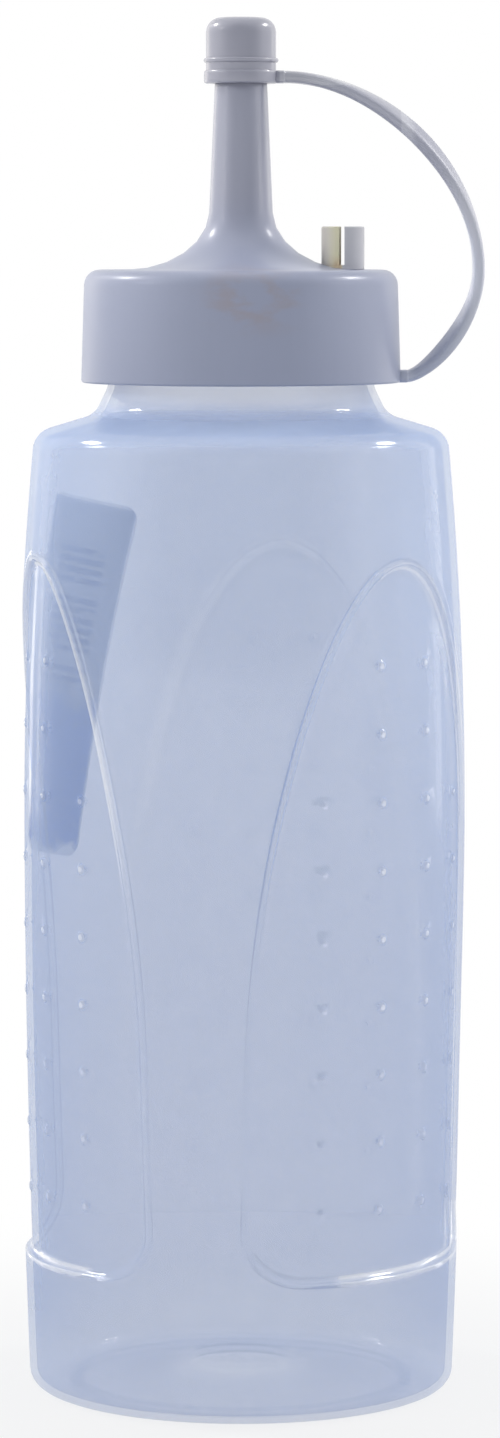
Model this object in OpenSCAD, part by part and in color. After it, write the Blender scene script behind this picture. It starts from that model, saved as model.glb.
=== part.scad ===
// Squeeze bottle for sauces: a blow-moulded bottle with three recessed grip panels, a sealing
// washer, a screw cap with a long nozzle and a split parking post, and a tip cap on a tether.
// Millimetres. The origin is the middle of the base, +Z is up, and -Y is the front.

/* [Bottle] */
// Radius of the wall just above the heel
foot_r = 36.5; // [35:0.1:39]
// Radius of the wall at its widest
belly_r = 38.35; // [37:0.05:41]
// Radius of the wall just under the shoulder
shoulder_r = 35.5; // [34:0.1:39]
// Height of the widest place
belly_z = 98; // [80:1:115]
// Height where the wall turns into the shoulder
shoulder_z = 161; // [152:1:180]
// Rounding between the base and the wall
heel_round = 3; // [2:0.25:4.5]
// Rounding between the wall and the shoulder
shoulder_round = 4; // [2.5:0.25:6]
// Rise of the shoulder towards the neck, in degrees
shoulder_slope = 17; // [10:1:24]
// Thickness of the blown wall
wall = 1.2; // [0.9:0.1:1.6]
// Width of the flat ring that the bottle stands on
foot_ring_w = 5; // [4:0.5:9]
// Height of the raised middle of the base
push_up = 3; // [2:0.25:5]
// Radius of the flat boss in the middle of the base
base_boss_r = 8; // [5:0.5:11]
// Height of that boss over the raised middle
base_boss_h = 0.7; // [0.3:0.1:1.2]

/* [Grip panels] */
// Number of arched panels round the bottle
panel_count = 3; // [2:1:3]
// Turn of the first panel from the front, in degrees
panel_turn = 48; // [0:1:119]
// Half of a panel's width, measured straight across
panel_half_w = 27.5; // [22:0.5:29]
// Height of a panel's lower edge
panel_foot_z = 23.6; // [16:0.1:30]
// Height where a panel is widest and its arch begins
panel_wide_z = 58; // [48:1:75]
// Height of the top of the arch
panel_apex_z = 143.2; // [120:0.1:146]
// Rounding of a panel's lower corners
panel_corner = 8; // [4:0.5:18]
// Depth of a panel under the wall around it
panel_recess = 1.2; // [0.6:0.1:1.8]

/* [Grip dots] */
// Radius of a dot at its foot
dot_r = 0.95; // [0.8:0.05:1.6]
// Height of a dot over the panel
dot_h = 0.5; // [0.3:0.05:0.8]
// Height of the lowest row of dots
dot_first_z = 35.2; // [30:0.1:42]
// Distance from one row of dots to the next
dot_pitch = 11.4; // [8:0.1:16]
// Number of columns on a panel
dot_columns = 4; // [2:1:5]
// Angle from one column to the next
dot_column_step = 17.5; // [12:0.5:18]
// Least distance from a dot's middle to the panel's edge
dot_margin = 5; // [3:0.5:7]

/* [Neck and thread] */
// Radius of the straight neck
neck_r = 22.6; // [21:0.1:24]
// Wall of the neck
neck_wall = 1.6; // [1.2:0.1:2]
// Length of the straight neck up to its rim
neck_h = 15.9; // [14.5:0.1:20]
// How much wider the neck's cone is at its foot
cone_spread = 2.3; // [1.5:0.1:4]
// Height of the neck's cone
cone_h = 4.8; // [3:0.1:7]
// Rise of the thread in one turn
thread_pitch = 4.2; // [3.8:0.05:4.6]
// Height of the thread over the neck
thread_depth = 1.7; // [1.2:0.1:2]
// Turns of thread on the neck, and in the cap
thread_turns = 1.25; // [1:0.05:1.4]
// Width of the thread at its root
thread_root_w = 2.2; // [1.8:0.1:2.4]
// Width of the thread at its crest
thread_crest_w = 1; // [0.6:0.1:1.2]
// Radial clearance between a thread and the wall that it faces
thread_gap = 0.35; // [0.25:0.05:0.5]
// Clearance between the flanks that carry the load
flank_gap = 0.2; // [0.15:0.05:0.3]
// Distance from the neck's rim down to the middle of the thread's upper end
thread_top_drop = 3.2; // [2.6:0.1:4]

/* [Sealing washer] */
// Thickness of the washer between the rim and the cap
seal_t = 1.2; // [0.8:0.1:2]
// How far the washer reaches past the neck's wall on each side
seal_lap = 0.6; // [0.3:0.1:1]

/* [Screw cap] */
// Wall of the skirt at its upper end
skirt_wall = 1.95; // [1.6:0.05:3]
// How much wider the skirt is at its foot
skirt_draft = 0.6; // [0.2:0.1:1]
// Clearance between the skirt's foot and the neck's cone
skirt_gap = 0.6; // [0.4:0.1:1.5]
// Rounding of the cap's upper edge
cap_edge_round = 2.5; // [1.5:0.25:3.5]
// Thickness of the cap's deck
deck_t = 2.6; // [2.2:0.1:3.5]

/* [Nozzle] */
// Length of the nozzle over the deck
nozzle_h = 40.1; // [34:0.1:55]
// Radius of the nozzle above its flare
nozzle_foot_r = 5.4; // [5:0.05:7]
// Radius of the nozzle at its end
nozzle_tip_r = 4.05; // [4:0.05:4.7]
// Wall of the nozzle at its end
nozzle_tip_wall = 0.9; // [0.7:0.05:1.1]
// Wall of the nozzle above its flare
nozzle_foot_wall = 1.55; // [1.2:0.05:2]
// Radius of the channel's mouth under the deck
funnel_r = 7.5; // [6:0.1:9]
// Height of the flare between the nozzle and the deck
flare_h = 9.7; // [7:0.1:10.5]
// How far the flare spreads out on the deck
flare_reach = 14; // [9:0.5:16]

/* [Tip cap] */
// Wall of the tip cap at its mouth
tip_wall = 1.2; // [1:0.05:2]
// How far the ring round its mouth stands proud
tip_ring_proud = 0.35; // [0.2:0.05:0.8]
// Height of that ring
tip_ring_h = 2.2; // [1.8:0.1:3]
// Length of nozzle that the tip cap covers
tip_cover = 8.7; // [7:0.1:12]
// Thickness of its closed end
tip_top_t = 2.1; // [1.6:0.1:3]
// Rounding of its upper edge
tip_edge_round = 2.5; // [1:0.25:3]
// Height of the bead above the ring, from the mouth
tip_bead_z = 3.9; // [3.5:0.1:5]
// Half the height of the bead, and how far it stands proud
tip_bead_r = 0.4; // [0.2:0.05:0.6]
// Clearance of the tip cap round the nozzle
tip_gap = 0.3; // [0.2:0.05:0.4]
// Depth of the plug that closes the outlet
plug_h = 2.2; // [1.5:0.1:4]

/* [Tether] */
// Width of the strap
strap_w = 4.4; // [3:0.1:6]
// Thickness of the strap
strap_t = 2.1; // [1.6:0.1:2.2]
// Distance from the bottle's axis to the strap's middle at its furthest
strap_reach = 40.4; // [38:0.2:50]
// Twist of the strap on its upper bend, in degrees
strap_twist = 24; // [0:1:30]
// Twist of the strap halfway down to the skirt, in degrees
strap_foot_twist = -20; // [-30:1:30]
// Length of the lugs that the strap leaves from
lug = 1; // [0.8:0.1:1.5]

/* [Parking post] */
// Distance from the axis to the post
post_x = 17.3; // [16.5:0.1:18.5]
// Radius of the post
post_r = 3.65; // [3.3:0.05:3.9]
// Height of the post over the deck
post_h = 7.3; // [5:0.1:10]
// Wall of the post
post_wall = 1.2; // [1:0.1:1.6]
// Width of the slits
slit_w = 0.9; // [0.6:0.1:1.4]
// Uncut height at the foot of the slits
slit_foot = 0.8; // [0.5:0.1:2]
// Turn of the slits from the front, in degrees
slit_turn = -4; // [-40:1:40]
// Radius of the spigot that is pressed into the deck
spigot_r = 2.6; // [2:0.1:3]
// Depth of the spigot
spigot_h = 1.5; // [1:0.1:1.6]

/* [Label] */
// Width of the sticker
label_w = 21; // [15:0.5:26]
// Height of the sticker
label_h = 62.5; // [40:0.5:68]
// Rounding of the sticker's corners
label_corner = 3; // [1:0.5:6]
// Lean of the sticker, in degrees
label_tilt = 11; // [-13:0.5:13]
// Turn of the sticker from the front, in degrees
label_turn = -124.5; // [-135:0.5:-120]
// Height of the sticker's middle
label_z = 120.8; // [112:0.1:126]
// Thickness of the sticker
label_t = 0.2; // [0.1:0.05:0.4]

/* [Hidden] */
$fn = 96;

bottle_colour = [0.71, 0.76, 0.86, 0.5];
cap_colour = [0.62, 0.65, 0.73];
post_colour = [0.70, 0.69, 0.66];
seal_colour = [0.85, 0.86, 0.88];
label_colour = [0.55, 0.66, 0.84];

// Counts of straight pieces in round stretches
wall_steps = 6;
arc_steps = 10;
ridge_steps = 48;
strap_steps = 18;
strap_sides = 12;

// How far a thread's root is sunk into its wall, and how many steps its ends take to rise
ridge_sink = 0.4;
ridge_lead = 5;
// Reach of a cutting shape past what it cuts
past = 1;
// Clearance of the sticker from the wall, for its glue
glue = 0.02;
// Clearance between pieces that only touch
touch = 0.02;

// Heights, from the base upwards
shoulder_end = 90 - shoulder_slope;
shoulder_mid_r = shoulder_r - shoulder_round;
shoulder_top_r = shoulder_mid_r + shoulder_round * cos(shoulder_end);
shoulder_top_z = shoulder_z + shoulder_round * sin(shoulder_end);
cone_foot_r = neck_r + cone_spread;
cone_foot_z = shoulder_top_z + (shoulder_top_r - cone_foot_r) * tan(shoulder_slope);
cone_top_z = cone_foot_z + cone_h;
rim_z = cone_top_z + neck_h;
under_deck_z = rim_z + seal_t;
deck_z = under_deck_z + deck_t;
skirt_z = cone_top_z + skirt_gap;
nozzle_z = deck_z + nozzle_h;
flare_z = deck_z + flare_h;
tip_z = nozzle_z - tip_cover;
tip_ceiling_z = nozzle_z + tip_gap;
tip_top_z = tip_ceiling_z + tip_top_t;

// Radii of the thread, the cap, the nozzle and the tip cap
neck_bore_r = neck_r - neck_wall;
neck_crest_r = neck_r + thread_depth;
cap_bore_r = neck_crest_r + thread_gap;
cap_r = cap_bore_r + skirt_wall;
cap_foot_r = cap_r + skirt_draft;
outlet_r = nozzle_tip_r - nozzle_tip_wall;
channel_r = nozzle_foot_r - nozzle_foot_wall;
tip_r = nozzle_r(tip_z) + tip_gap + tip_wall;
tip_ring_r = tip_r + tip_ring_proud;

// The threads: the cap's lies under the neck's, a flank gap away, and starts half a turn earlier
flank_share = (thread_depth + thread_gap) / thread_depth / 2;
thread_offset = thread_root_w - (thread_root_w - thread_crest_w) * flank_share + flank_gap;
neck_thread_z = rim_z - thread_top_drop - thread_pitch * thread_turns;
cap_thread_turn = -180;
cap_thread_z = neck_thread_z - thread_offset + thread_pitch * cap_thread_turn / 360;

// Points along an arc about c, from angle a to angle b
function arc(c, r, a, b) = [
    for (i = [0 : arc_steps])
        let (t = a + (b - a) * i / arc_steps)
        c + r * [cos(t), sin(t)]
];

// Radius of the bottle's wall at a height: two parabolas that meet at the belly
function side_r(z) = z < belly_z
    ? belly_r - (belly_r - foot_r) * pow((belly_z - z) / (belly_z - heel_round), 2)
    : belly_r - (belly_r - shoulder_r) * pow((z - belly_z) / (shoulder_z - belly_z), 2);

// Heights of the points up the wall. The first lies between the base and the panels
barrel_foot_z = panel_foot_z / 2;
side_heights = concat(
    [for (i = [0 : wall_steps - 1]) barrel_foot_z + (belly_z - barrel_foot_z) * i / wall_steps],
    [for (i = [0 : wall_steps]) belly_z + (shoulder_z - belly_z) * i / wall_steps]
);

// Points up the wall, drawn in by a distance
function side_points(inset) = [for (z = side_heights) [side_r(z) - inset, z]];

// Outline of the bottle's half section up to the cone's foot, drawn in by a distance
function shell_points(inset) = concat(
    [[0, push_up + base_boss_h + inset], [base_boss_r - inset, push_up + base_boss_h + inset],
     [base_boss_r + base_boss_h - inset, push_up + inset], [foot_r - heel_round - foot_ring_w, inset]],
    arc([foot_r - heel_round, heel_round], heel_round - inset, -90, 0),
    side_points(inset),
    arc([shoulder_mid_r, shoulder_z], shoulder_round - inset, 0, shoulder_end)
);

function outer_points() = concat(
    shell_points(0),
    [[cone_foot_r, cone_foot_z], [neck_r, cone_top_z], [neck_r, rim_z], [0, rim_z]]
);

function cavity_points() = concat(
    shell_points(wall),
    [[cone_foot_r - wall, cone_foot_z - wall], [neck_bore_r, cone_top_z - wall],
     [neck_bore_r, rim_z + past], [0, rim_z + past]]
);

module revolve(points) { rotate_extrude() polygon(points); }

// A barrel with the wall's curve, clear of the base, drawn in by a distance
module barrel(inset) {
    revolve(concat([[0, barrel_foot_z]], side_points(inset), [[0, shoulder_z]]));
}

// Half width of a panel at a height
function panel_half(z) = z > panel_wide_z
    ? panel_half_w * sqrt(max(0, 1 - pow((z - panel_wide_z) / (panel_apex_z - panel_wide_z), 2)))
    : z > panel_foot_z + panel_corner
    ? panel_half_w
    : panel_half_w - panel_corner
        + sqrt(max(0, pow(panel_corner, 2) - pow(panel_foot_z + panel_corner - z, 2)));

// A panel's outline: half an ellipse over a foot with round corners
module panel_outline(grow) {
    half = panel_half_w + grow;
    rise = panel_apex_z - panel_wide_z + grow;
    corner = panel_corner + grow;
    corner_x = half - corner;
    corner_z = panel_foot_z - grow + corner;
    polygon(concat(
        [for (t = [0 : 6 : 180]) [half * cos(t), panel_wide_z + rise * sin(t)]],
        arc([-corner_x, corner_z], corner, 180, 270),
        arc([corner_x, corner_z], corner, 270, 360)
    ));
}

module at_panels() {
    for (i = [0 : panel_count - 1])
        rotate([0, 0, panel_turn + 360 / panel_count * i]) children();
}

// What the panels take out of the wall, from the bottle's axis outwards
module panel_prisms(grow) {
    at_panels() rotate([90, 0, 0]) linear_extrude(belly_r + past) panel_outline(grow);
}

// Everything inside a skin that is drawn in by a distance and steps back at the panels
module panelled(inset) {
    barrel(panel_recess + inset);
    difference() {
        children();
        panel_prisms(inset);
    }
}

// Domes on the panels, in rows and columns, where they are clear of the panel's edge
module grip_dots() {
    ball_r = (dot_r * dot_r + dot_h * dot_h) / (2 * dot_h);
    rows = floor((panel_apex_z - dot_first_z) / dot_pitch);
    at_panels() for (row = [0 : rows], column = [0 : dot_columns - 1]) {
        z = dot_first_z + dot_pitch * row;
        turn = (column - (dot_columns - 1) / 2) * dot_column_step;
        floor_r = side_r(z) - panel_recess;
        if (floor_r * sin(abs(turn)) + dot_margin < panel_half(z))
            rotate([0, 0, turn]) translate([0, ball_r - dot_h - floor_r, z]) sphere(ball_r, $fn = 32);
    }
}

// One cross section of a thread: its root, sunk into the wall, and its crest. side is 1 on the
// outside of a wall and -1 on its inside
function ridge_section(root, side, rise, z) =
    let (half = (thread_root_w + (thread_crest_w - thread_root_w) * rise / thread_depth) / 2,
         sunk = root - side * ridge_sink,
         crest = root + side * rise,
         low = [[sunk, z - thread_root_w / 2], [crest, z - half]],
         high = [[crest, z + half], [sunk, z + thread_root_w / 2]])
    side > 0 ? [low[0], low[1], high[0], high[1]] : [high[1], high[0], low[1], low[0]];

// A single-start thread that rises out of its wall at both ends
module thread_ridge(root, side, z, turn) {
    last = ceil(ridge_steps * thread_turns);
    points = [
        for (i = [0 : last])
            let (a = turn + 360 * thread_turns * i / last,
                 rise = (thread_depth + touch) * min(1, i / ridge_lead, (last - i) / ridge_lead) - touch)
            for (p = ridge_section(root, side, rise, z + thread_pitch * thread_turns * i / last))
                [p[0] * cos(a), p[0] * sin(a), p[1]]
    ];
    sides = [
        for (i = [0 : last - 1], k = [0 : 3])
            let (a = 4 * i + k, b = 4 * i + (k + 1) % 4)
            for (face = [[a, b, b + 4], [a, b + 4, a + 4]]) face
    ];
    end = 4 * last;
    ends = [[3, 2, 1], [3, 1, 0], [end, end + 1, end + 2], [end, end + 2, end + 3]];
    polyhedron(points, concat(sides, ends));
}

module bottle_body() {
    color(bottle_colour) difference() {
        union() {
            panelled(0) revolve(outer_points());
            grip_dots();
            thread_ridge(neck_r, 1, neck_thread_z, 0);
        }
        panelled(wall) revolve(cavity_points());
    }
}

// A sticker that follows the wall, and steps down with it where it runs on to a panel
module label() {
    color(label_colour) intersection() {
        difference() {
            panelled(-glue - label_t) barrel(-glue - label_t);
            panelled(-glue) barrel(-glue);
        }
        rotate([90, 0, label_turn]) linear_extrude(belly_r + past)
            translate([0, label_z]) rotate(label_tilt) label_outline();
    }
}

module label_outline() {
    x = label_w / 2 - label_corner;
    z = label_h / 2 - label_corner;
    polygon(concat(
        arc([x, z], label_corner, 0, 90),
        arc([-x, z], label_corner, 90, 180),
        arc([-x, -z], label_corner, 180, 270),
        arc([x, -z], label_corner, 270, 360)
    ));
}

// A flat ring on the rim of the neck
module cap_seal() {
    color(seal_colour) translate([0, 0, rim_z]) difference() {
        cylinder(r = neck_r + seal_lap, h = seal_t);
        translate([0, 0, -past]) cylinder(r = neck_bore_r - seal_lap, h = seal_t + 2 * past);
    }
}

// Outer radius of the nozzle at a height above its flare
function nozzle_r(z) = nozzle_foot_r + (nozzle_tip_r - nozzle_foot_r) * (z - flare_z) / (nozzle_z - flare_z);

// Half section of the cap: skirt, deck, flare and nozzle, then back down through the channel
function cap_points() = concat(
    [[cap_bore_r, skirt_z], [cap_foot_r, skirt_z]],
    arc([cap_r - cap_edge_round, deck_z - cap_edge_round], cap_edge_round, 0, 90),
    [for (p = arc([1, 1], 1, 270, 180)) [nozzle_foot_r + flare_reach * p[0], deck_z + flare_h * p[1]]],
    [[nozzle_tip_r, nozzle_z], [outlet_r, nozzle_z], [channel_r, flare_z],
     [funnel_r, under_deck_z], [cap_bore_r, under_deck_z]]
);

module screw_cap() {
    color(cap_colour) difference() {
        union() {
            revolve(cap_points());
            thread_ridge(cap_bore_r, -1, cap_thread_z, cap_thread_turn);
            difference() {
                translate([0, -strap_w / 2, skirt_z]) cube([strap_foot[0], strap_w, strap_t]);
                translate([0, 0, skirt_z - past])
                    cylinder(r = cap_bore_r + skirt_wall / 2, h = strap_t + 2 * past);
            }
        }
        post_seat();
    }
}

// Room for the parking post: flat on the deck, with a blind hole for its spigot
module post_seat() {
    translate([post_x, 0, deck_z]) cylinder(r = post_r, h = post_h);
    translate([post_x, 0, deck_z - spigot_h]) cylinder(r = spigot_r, h = spigot_h + past);
}

// A tube with two crossed slits, on a spigot
module parking_post() {
    color(post_colour) translate([post_x, 0, deck_z]) {
        difference() {
            cylinder(r = post_r, h = post_h);
            translate([0, 0, slit_foot]) cylinder(r = post_r - post_wall, h = post_h);
            for (turn = [slit_turn, slit_turn + 90])
                rotate([0, 0, turn]) translate([-slit_w / 2, -post_r - past, slit_foot])
                    cube([slit_w, 2 * (post_r + past), post_h]);
        }
        translate([0, 0, -spigot_h]) cylinder(r = spigot_r, h = spigot_h + slit_foot / 2);
    }
}

// The strap's middle line: two smooth curves, from the tip cap's lug out to the reach and back to
// the skirt's lug
strap_head = [tip_ring_r + lug, tip_z + tip_ring_h / 2];
strap_foot = [cap_foot_r + lug, skirt_z + strap_t / 2];
strap_bend = [strap_reach, deck_z];
upper_handle = 0.5 * (strap_reach - strap_head[0]);
lower_handle = 0.5 * (deck_z - strap_foot[1]);
foot_handle = 0.25 * (strap_reach - strap_foot[0]);
upper_curve = [strap_head, strap_head + [upper_handle, 0], strap_bend + [0, upper_handle], strap_bend];
lower_curve = [strap_bend, strap_bend - [0, lower_handle], strap_foot + [foot_handle, 0], strap_foot];

function on_curve(c, t) =
    pow(1 - t, 3) * c[0] + 3 * t * pow(1 - t, 2) * c[1] + 3 * t * t * (1 - t) * c[2] + pow(t, 3) * c[3];
function along_curve(c, t) =
    pow(1 - t, 2) * (c[1] - c[0]) + 2 * t * (1 - t) * (c[2] - c[1]) + t * t * (c[3] - c[2]);

// A cosine or a sine, swollen so that a ring of them is an oval with flat sides
function swollen(x) = sign(x) * pow(abs(x), 0.6);

// A ring of points round the strap at a place on a curve, turned by the twist
function strap_ring(c, t, twist) =
    let (p = on_curve(c, t),
         d = along_curve(c, t) / norm(along_curve(c, t)))
    [
        for (i = [0 : strap_sides - 1])
            let (a = 360 * (i + 0.5) / strap_sides,
                 u = strap_w / 2 * swollen(cos(a)),
                 v = strap_t / 2 * swollen(sin(a)),
                 across = u * cos(twist) - v * sin(twist),
                 out = u * sin(twist) + v * cos(twist))
            [p[0] - out * d[1], across, p[1] + out * d[0]]
    ];

module tether_strap() {
    rings = [
        for (i = [0 : 2 * strap_steps])
            let (t = i / strap_steps)
            t < 1
                ? strap_ring(upper_curve, t, strap_twist * pow(sin(180 * t), 2))
                : strap_ring(lower_curve, t - 1, strap_foot_twist * pow(sin(180 * (t - 1)), 2))
    ];
    points = [for (ring = rings) for (p = ring) p];
    last = len(points) - strap_sides;
    sides = [
        for (i = [0 : len(rings) - 2], k = [0 : strap_sides - 1])
            let (a = strap_sides * i + k, b = strap_sides * i + (k + 1) % strap_sides)
            for (face = [[a, b, b + strap_sides], [a, b + strap_sides, a + strap_sides]]) face
    ];
    ends = [
        for (k = [1 : strap_sides - 2])
            for (face = [[0, k + 1, k], [last, last + k, last + k + 1]]) face
    ];
    color(cap_colour) polyhedron(points, concat(sides, ends));
}

// Half section of the tip cap: ring, bead, body and round top, then its plug and its room for the nozzle
function tip_points() = concat(
    [[nozzle_r(tip_z) + tip_gap, tip_z], [tip_ring_r, tip_z], [tip_ring_r, tip_z + tip_ring_h],
     [tip_r, tip_z + tip_ring_h]],
    arc([tip_r, tip_z + tip_bead_z], tip_bead_r, -90, 90),
    arc([tip_r - tip_edge_round, tip_top_z - tip_edge_round], tip_edge_round, 0, 90),
    [[0, tip_top_z], [0, nozzle_z - plug_h], [outlet_r - tip_gap, nozzle_z - plug_h],
     [outlet_r - tip_gap, tip_ceiling_z], [nozzle_tip_r + tip_gap, tip_ceiling_z]]
);

module tip_cap() {
    color(cap_colour) {
        revolve(tip_points());
        difference() {
            translate([0, -strap_w / 2, tip_z]) cube([strap_head[0], strap_w, tip_ring_h]);
            translate([0, 0, tip_z - past]) cylinder(r = (tip_r + tip_ring_r) / 2, h = tip_ring_h + 2 * past);
        }
    }
}

bottle_body();
label();
cap_seal();
screw_cap();
parking_post();
tether_strap();
tip_cap();
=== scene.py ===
# %% [markdown]
# # A squeeze bottle with a nozzle cap
# The real object is a clear, slightly blue bottle for sauces, with a screw cap, a long nozzle and a
# small tip cap on a moulded strap. The CAD model is loaded first. It fixes where every piece sits, so
# each mesh below is drawn in millimetres in that same frame and needs no fitting afterwards.

# %% Load the CAD frame
import math

import bmesh
import bpy
from mathutils import Matrix, Vector


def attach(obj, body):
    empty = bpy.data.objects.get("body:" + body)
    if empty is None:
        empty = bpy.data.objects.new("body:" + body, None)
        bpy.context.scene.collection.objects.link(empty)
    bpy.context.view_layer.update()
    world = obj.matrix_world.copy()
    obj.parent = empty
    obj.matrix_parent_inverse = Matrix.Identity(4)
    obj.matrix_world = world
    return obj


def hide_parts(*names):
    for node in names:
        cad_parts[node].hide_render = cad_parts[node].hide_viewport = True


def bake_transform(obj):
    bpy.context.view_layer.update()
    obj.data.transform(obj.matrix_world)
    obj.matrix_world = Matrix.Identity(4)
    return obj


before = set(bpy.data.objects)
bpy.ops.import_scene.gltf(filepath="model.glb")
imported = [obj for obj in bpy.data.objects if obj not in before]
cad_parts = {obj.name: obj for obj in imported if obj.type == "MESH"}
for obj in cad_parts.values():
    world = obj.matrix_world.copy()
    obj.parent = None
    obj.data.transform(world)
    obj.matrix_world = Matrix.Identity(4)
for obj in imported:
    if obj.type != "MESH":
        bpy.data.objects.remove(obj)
bpy.context.view_layer.update()
MM = 0.001

# %% [markdown]
# ## Camera
# The photograph looks slightly down on the bottle from about 0.9 m away, through a long lens. Its
# place was worked out from the ellipses of the base and the cap. A long side of 36 mm and the focal
# length in pixels give the lens, and two small shifts put the bottle's axis where it is in the frame.

# %% Camera
FRAME_H, FOCAL, SHIFT_X, SHIFT_Y = 1438, 5271, 9, 6.5  # pixels of the photograph
LONG_SIDE, LOOK_DOWN = 36, 5.3  # millimetres of the sensor, and degrees
lens = bpy.data.cameras.new("camera")
lens.sensor_width = LONG_SIDE
lens.lens = LONG_SIDE * FOCAL / FRAME_H
lens.shift_x, lens.shift_y = SHIFT_X / FRAME_H, SHIFT_Y / FRAME_H
camera = bpy.data.objects.new("camera", lens)
camera.location = (0, -0.899, 0.1973)
camera.rotation_euler = (math.radians(90 - LOOK_DOWN), 0, 0)
bpy.context.scene.collection.objects.link(camera)
bpy.context.scene.camera = camera
print("Lens:", round(lens.lens, 1), "mm")

# %% [markdown]
# ## Shader sums
# A finish is a small tree of nodes. Writing each Math node by hand hides the idea, so one class wraps
# an output socket: plus, minus, times and powers then add the Math node themselves. Every other node
# comes from one method, which takes the node's type, its settings, and its sockets' values or links.

# %% A socket that can be summed
class Field:
    """An output in a material's node tree, which Python's operators can work with."""

    def __init__(self, tree, socket=None):
        self.tree, self.socket = tree, socket

    def node(self, kind, settings=None, sockets=None, output=0):
        made = self.tree.nodes.new("ShaderNode" + kind)
        for name, value in (settings or {}).items():
            setattr(made, name, value)
        for name, value in (sockets or {}).items():
            if isinstance(value, Field):
                self.tree.links.new(made.inputs[name], value.socket)
            else:
                made.inputs[name].default_value = value
        return Field(self.tree, made.outputs[output] if made.outputs else None)

    def sum(self, operation, a, b):
        return self.node("Math", {"operation": operation}, {0: a, 1: b})

    def __add__(self, other):
        return self.sum("ADD", self, other)

    def __sub__(self, other):
        return self.sum("SUBTRACT", self, other)

    def __rsub__(self, other):
        return self.sum("SUBTRACT", other, self)

    def __mul__(self, other):
        return self.sum("MULTIPLY", self, other)

    def __pow__(self, other):
        return self.sum("POWER", self, other)

    __radd__, __rmul__ = __add__, __mul__

    def either(self, other):
        return self.sum("MAXIMUM", self, other)

    def fract(self):
        return self.node("Math", {"operation": "FRACT"}, {0: self})

    def between(self, low, high):
        """0 below low and 1 above high, with a smooth slope from one to the other."""
        return self.node("MapRange", {"interpolation_type": "SMOOTHSTEP"},
                         {"Value": self, "From Min": low, "From Max": high})

    def axes(self):
        split = self.node("SeparateXYZ", None, {0: self}).socket.node
        return [Field(self.tree, split.outputs[i]) for i in range(3)]

    def off_axis(self):
        """How far a place lies from the bottle's axis."""
        x, y, _ = self.axes()
        return (x * x + y * y) ** 0.5

    def rays(self, *kinds):
        """For each kind of ray a field that is 1 on such a ray, and 0 on others."""
        path = self.node("LightPath").socket.node
        return [Field(self.tree, path.outputs["Is " + kind + " Ray"]) for kind in kinds]

    def stretched(self, scale):
        return self.node("Mapping", None, {"Vector": self, "Scale": scale})

    def noise(self, scale, detail):
        return self.node("TexNoise", None,
                         {"Vector": self, "Scale": scale, "Detail": detail, "Roughness": 0.55})

    def tint(self, a, b):
        """Colour a where this field is 0, and b where it is 1."""
        return self.node("Mix", {"data_type": "RGBA"}, {0: self, 6: a, 7: b}, 2)

    def bump(self, strength, distance):
        return self.node("Bump", None, {"Strength": strength, "Distance": distance, "Height": self})


print("Field adds", [name for name in vars(Field) if not name.startswith("_")])

# %% [markdown]
# A finish starts from the Object coordinates, which are metres in the CAD frame because every piece
# sits at the origin, and ends in one Principled shader.

# %% Starting and closing a finish
def start_finish(name):
    material = bpy.data.materials.new(name)
    material.use_nodes = True
    material.node_tree.nodes.clear()
    here = Field(material.node_tree).node("TexCoord", output="Object")
    return material, here


def close_finish(material, here, sockets):
    shader = here.node("BsdfPrincipled", None, sockets)
    here.node("OutputMaterial", None, {"Surface": shader})
    print(material.name, "has", len(material.node_tree.nodes), "nodes")


print("A finish opens with", start_finish.__name__, "and ends with", close_finish.__name__)

# %% [markdown]
# ## Floor, backdrop and light
# The photograph was cut out on white. The world is white where the camera looks, and much weaker for
# the light that it sheds. Reflections see the same white behind and beside the bottle, and a darker
# room towards the front: that is what draws the grip dots and the steps of the panels. The floor is a
# pale sheet that fades to white away from the foot, so it keeps a soft shadow and shows no horizon.

# %% World
WHITE = (1, 1, 1, 1)
world = bpy.data.worlds.new("studio")
bpy.context.scene.world = world
world.use_nodes = True
world.node_tree.nodes.clear()
sky = Field(world.node_tree).node("TexCoord", output="Generated")
camera_ray, glossy_ray, through_ray = sky.rays("Camera", "Glossy", "Transmission")
room = sky.axes()[1].between(-0.85, -0.1).tint((0.25, 0.26, 0.28, 1), WHITE)
fill = sky.node("Background", None, {"Color": (0.89, 0.94, 1.0, 1), "Strength": 0.6})
mirrored = sky.node("Background", None, {"Color": room, "Strength": 1.0})
white = sky.node("Background", None, {"Color": WHITE, "Strength": 1.0})
lit = sky.node("MixShader", None, {0: glossy_ray, 1: fill, 2: mirrored})
studio = sky.node("MixShader", None, {0: camera_ray.either(through_ray), 1: lit, 2: white})
sky.node("OutputWorld", None, {"Surface": studio})
bpy.context.scene.view_settings.view_transform = "Standard"
print("World nodes:", len(world.node_tree.nodes))

# %% Floor
FLOOR_R, FLOOR_DROP, SHADOW_R = 30, 0.0002, (0.04, 0.16)  # metres
floor_finish, here = start_finish("floor_paper")
camera_ray, glossy_ray = here.rays("Camera", "Glossy")
paper = here.node("BsdfDiffuse", None, {"Color": (0.75, 0.75, 0.75, 1)})
glow = here.node("Emission", None, {"Color": WHITE, "Strength": 1.0})
shown = camera_ray.either(glossy_ray) * (0.8 + 0.2 * here.off_axis().between(*SHADOW_R))
sheet = here.node("MixShader", None, {0: shown, 1: paper, 2: glow})
here.node("OutputMaterial", None, {"Surface": sheet})
bm = bmesh.new()
bmesh.ops.create_circle(bm, cap_ends=True, segments=64, radius=FLOOR_R)
bmesh.ops.translate(bm, verts=bm.verts, vec=(0, 0, -FLOOR_DROP))
floor_mesh = bpy.data.meshes.new("floor")
bm.to_mesh(floor_mesh)
bm.free()
floor_mesh.materials.append(floor_finish)
floor = bpy.data.objects.new("floor", floor_mesh)
bpy.context.scene.collection.objects.link(floor)
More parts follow.
